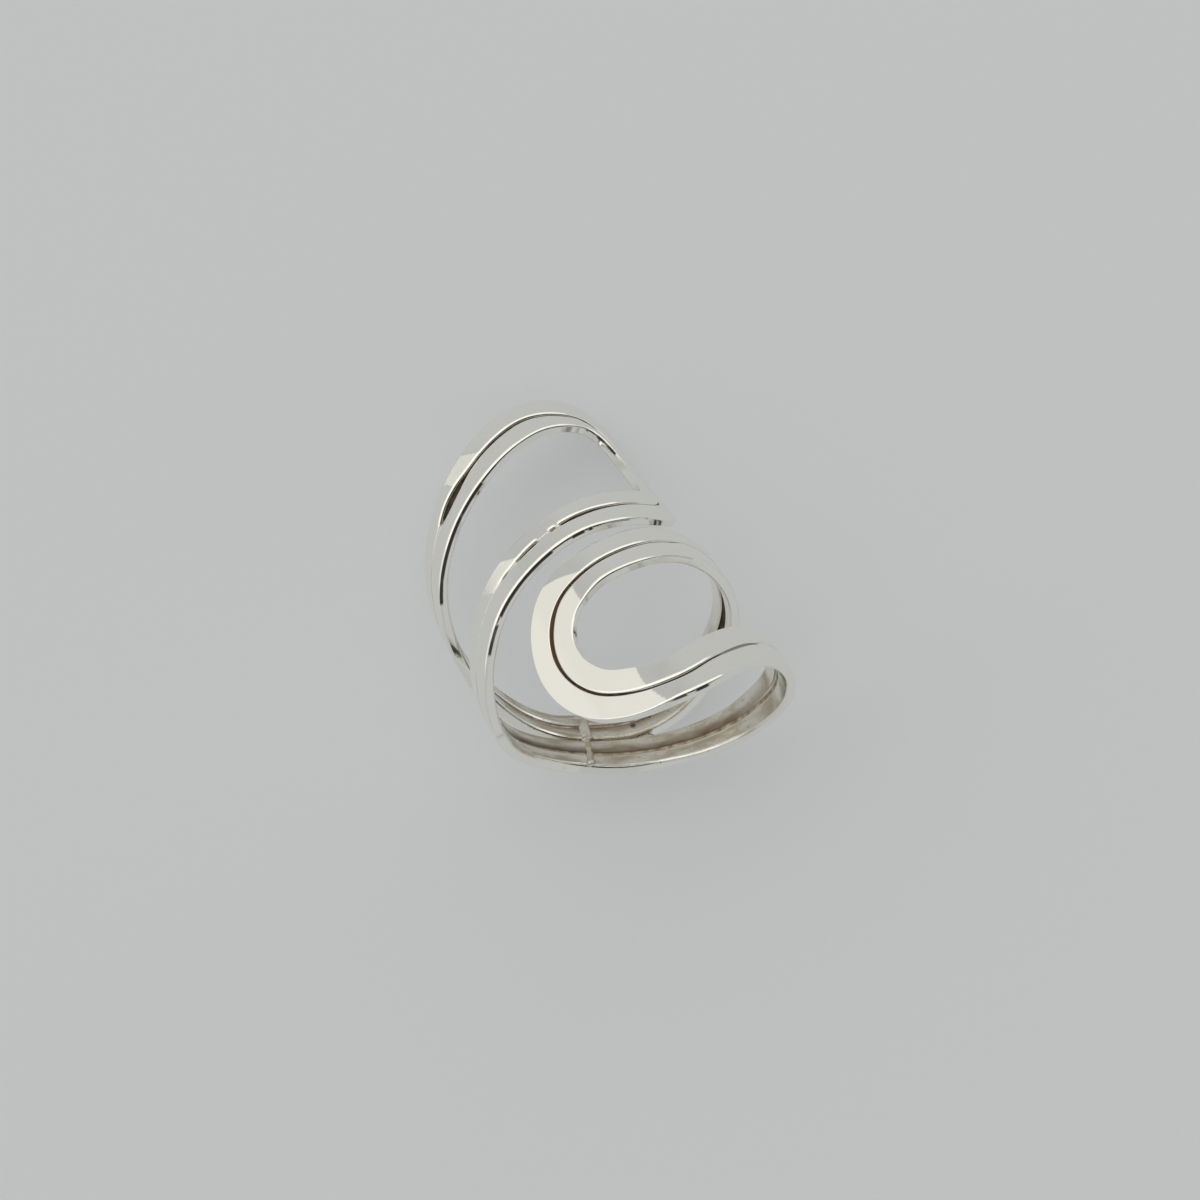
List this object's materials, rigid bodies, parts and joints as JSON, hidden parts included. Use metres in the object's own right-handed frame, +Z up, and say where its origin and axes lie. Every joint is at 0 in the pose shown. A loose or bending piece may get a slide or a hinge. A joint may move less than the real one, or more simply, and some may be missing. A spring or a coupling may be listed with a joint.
{
  "type": "adjustable ring",
  "caption": "Adjustable finger ring of double silver wire: two long loops from a shared shank pass each other over the front, lying on its side.",
  "frame": {"origin": "on the floor, below the middle of the resting ring's bounding box", "axes": "+Z up as the ring rests on its side; the finger hole runs through it towards +Y and +Z, 41 degrees above the floor; the front with the two passing loops faces -Y and up, and the shank is behind"},
  "size_m": [0.0194, 0.0296, 0.027],
  "materials": {
    "silver": "polished silver, lightly scratched, with brown tarnish inside the shank and in the slit"
  },
  "bodies": {
    "root": {"ring_band": "silver"}
  },
  "joints": []
}
